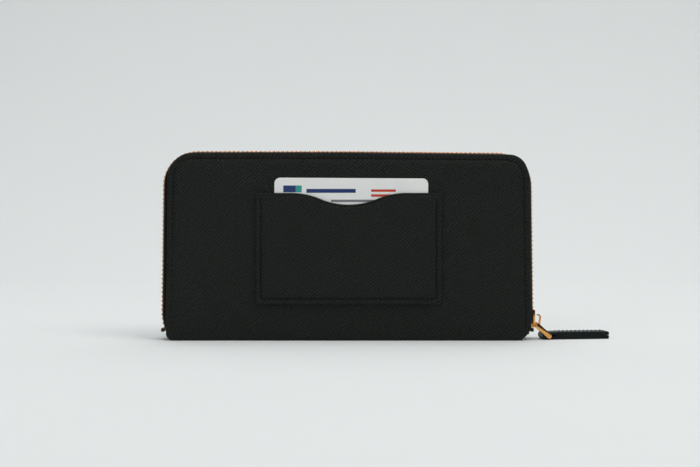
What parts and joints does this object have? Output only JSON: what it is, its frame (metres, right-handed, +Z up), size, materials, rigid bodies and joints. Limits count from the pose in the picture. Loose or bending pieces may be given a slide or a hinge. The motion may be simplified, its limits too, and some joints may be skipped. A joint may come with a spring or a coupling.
{
  "type": "zip around wallet",
  "caption": "Long zip around wallet standing on its spine, with an outer card pocket, stepped card slots, a zipped coin pocket, side gussets and a folded leather zip pull.",
  "frame": {"origin": "middle of the spine's flat underside, on the surface that the wallet stands on", "axes": "+X along the wallet towards the parked slider, +Y through its thickness away from the outer card pocket, +Z up from the spine to the zipped edge"},
  "size_m": [0.2539, 0.0249, 0.1062],
  "materials": {
    "leather": "cross-grain embossed, semi-matte",
    "tab_leather": "smooth, semi-matte",
    "lining_leather": "smooth lining",
    "inner_leather": "fine grain",
    "board": "raw board",
    "card_plastic": "satin laminated",
    "zip_tape": "woven",
    "zip_metal": "polished",
    "polished_gold": "mirror polished"
  },
  "bodies": {
    "spine_and_coin_pocket": {"spine": "leather", "spine_lining": "lining_leather", "zip_stops": "zip_metal", "coin_pocket_front_panel": "inner_leather", "coin_pocket_back_panel": "inner_leather", "coin_tape_front": "zip_tape", "coin_tape_back": "zip_tape", "coin_teeth_front": "zip_metal", "coin_teeth_back": "zip_metal", "gusset_front_left": "inner_leather", "gusset_front_right": "inner_leather", "gusset_back_left": "inner_leather", "gusset_back_right": "inner_leather"},
    "front_half": {"front_cover": "leather", "front_stiffener": "board", "front_lining": "lining_leather", "card_slot_front_1": "inner_leather", "card_slot_front_2": "inner_leather", "card_slot_front_3": "inner_leather", "card_slot_front_4": "inner_leather", "zip_tape_front": "zip_tape", "zip_teeth_front": "zip_metal", "outer_card_pocket": "leather"},
    "back_half": {"back_cover": "leather", "back_stiffener": "board", "back_lining": "lining_leather", "card_slot_back_1": "inner_leather", "card_slot_back_2": "inner_leather", "card_slot_back_3": "inner_leather", "card_slot_back_4": "inner_leather", "zip_tape_back": "zip_tape", "zip_teeth_back": "zip_metal"},
    "card": {"id_card": "card_plastic"},
    "zip_slider": {"slider_body": "polished_gold", "slider_bridge": "polished_gold"},
    "link": {"pull_link": "polished_gold"},
    "tab": {"pull_tab": "tab_leather"},
    "coin_slider": {"coin_slider_body": "polished_gold"},
    "coin_puller": {"coin_pull": "polished_gold"}
  },
  "joints": [
    {"name": "front_cover_open", "type": "hinge", "parent": "spine_and_coin_pocket", "child": "front_half", "pos_m": [0, -0.01085, 0.00065], "axis": [1, 0, 0], "range_deg": [0, 30], "deforming": ["zip_tape_front", "zip_teeth_front", "gusset_front_left", "gusset_front_right"]},
    {"name": "back_cover_open", "type": "hinge", "parent": "spine_and_coin_pocket", "child": "back_half", "pos_m": [0, 0.01085, 0.00065], "axis": [-1, 0, 0], "range_deg": [0, 30], "deforming": ["zip_tape_back", "zip_teeth_back", "gusset_back_left", "gusset_back_right"]},
    {"name": "card_slide", "type": "slide", "parent": "front_half", "child": "card", "axis": [0, 0, 1], "range_m": [-0.011, 0.058]},
    {"name": "slider_travel", "type": "slide", "parent": "back_half", "child": "zip_slider", "axis": [-0.0143, 0, 0.9999], "range_m": [0, 0.065]},
    {"name": "pull_link_swing", "type": "hinge", "parent": "zip_slider", "child": "link", "pos_m": [0.10645, 0, 0.00775], "axis": [0, -1, 0], "range_deg": [0, 70]},
    {"name": "pull_tab_swing", "type": "hinge", "parent": "link", "child": "tab", "pos_m": [0.11266, 0, 0.0021], "axis": [0, -1, 0], "range_deg": [-80, 20]},
    {"name": "coin_slider_travel", "type": "slide", "parent": "spine_and_coin_pocket", "child": "coin_slider", "axis": [-1, 0, 0], "range_m": [0, 0.165], "deforming": ["coin_teeth_front", "coin_teeth_back"]},
    {"name": "coin_pull_swing", "type": "hinge", "parent": "coin_slider", "child": "coin_puller", "pos_m": [0.086, 0, 0.0849], "axis": [0, 1, 0], "range_deg": [0, 170]}
  ]
}
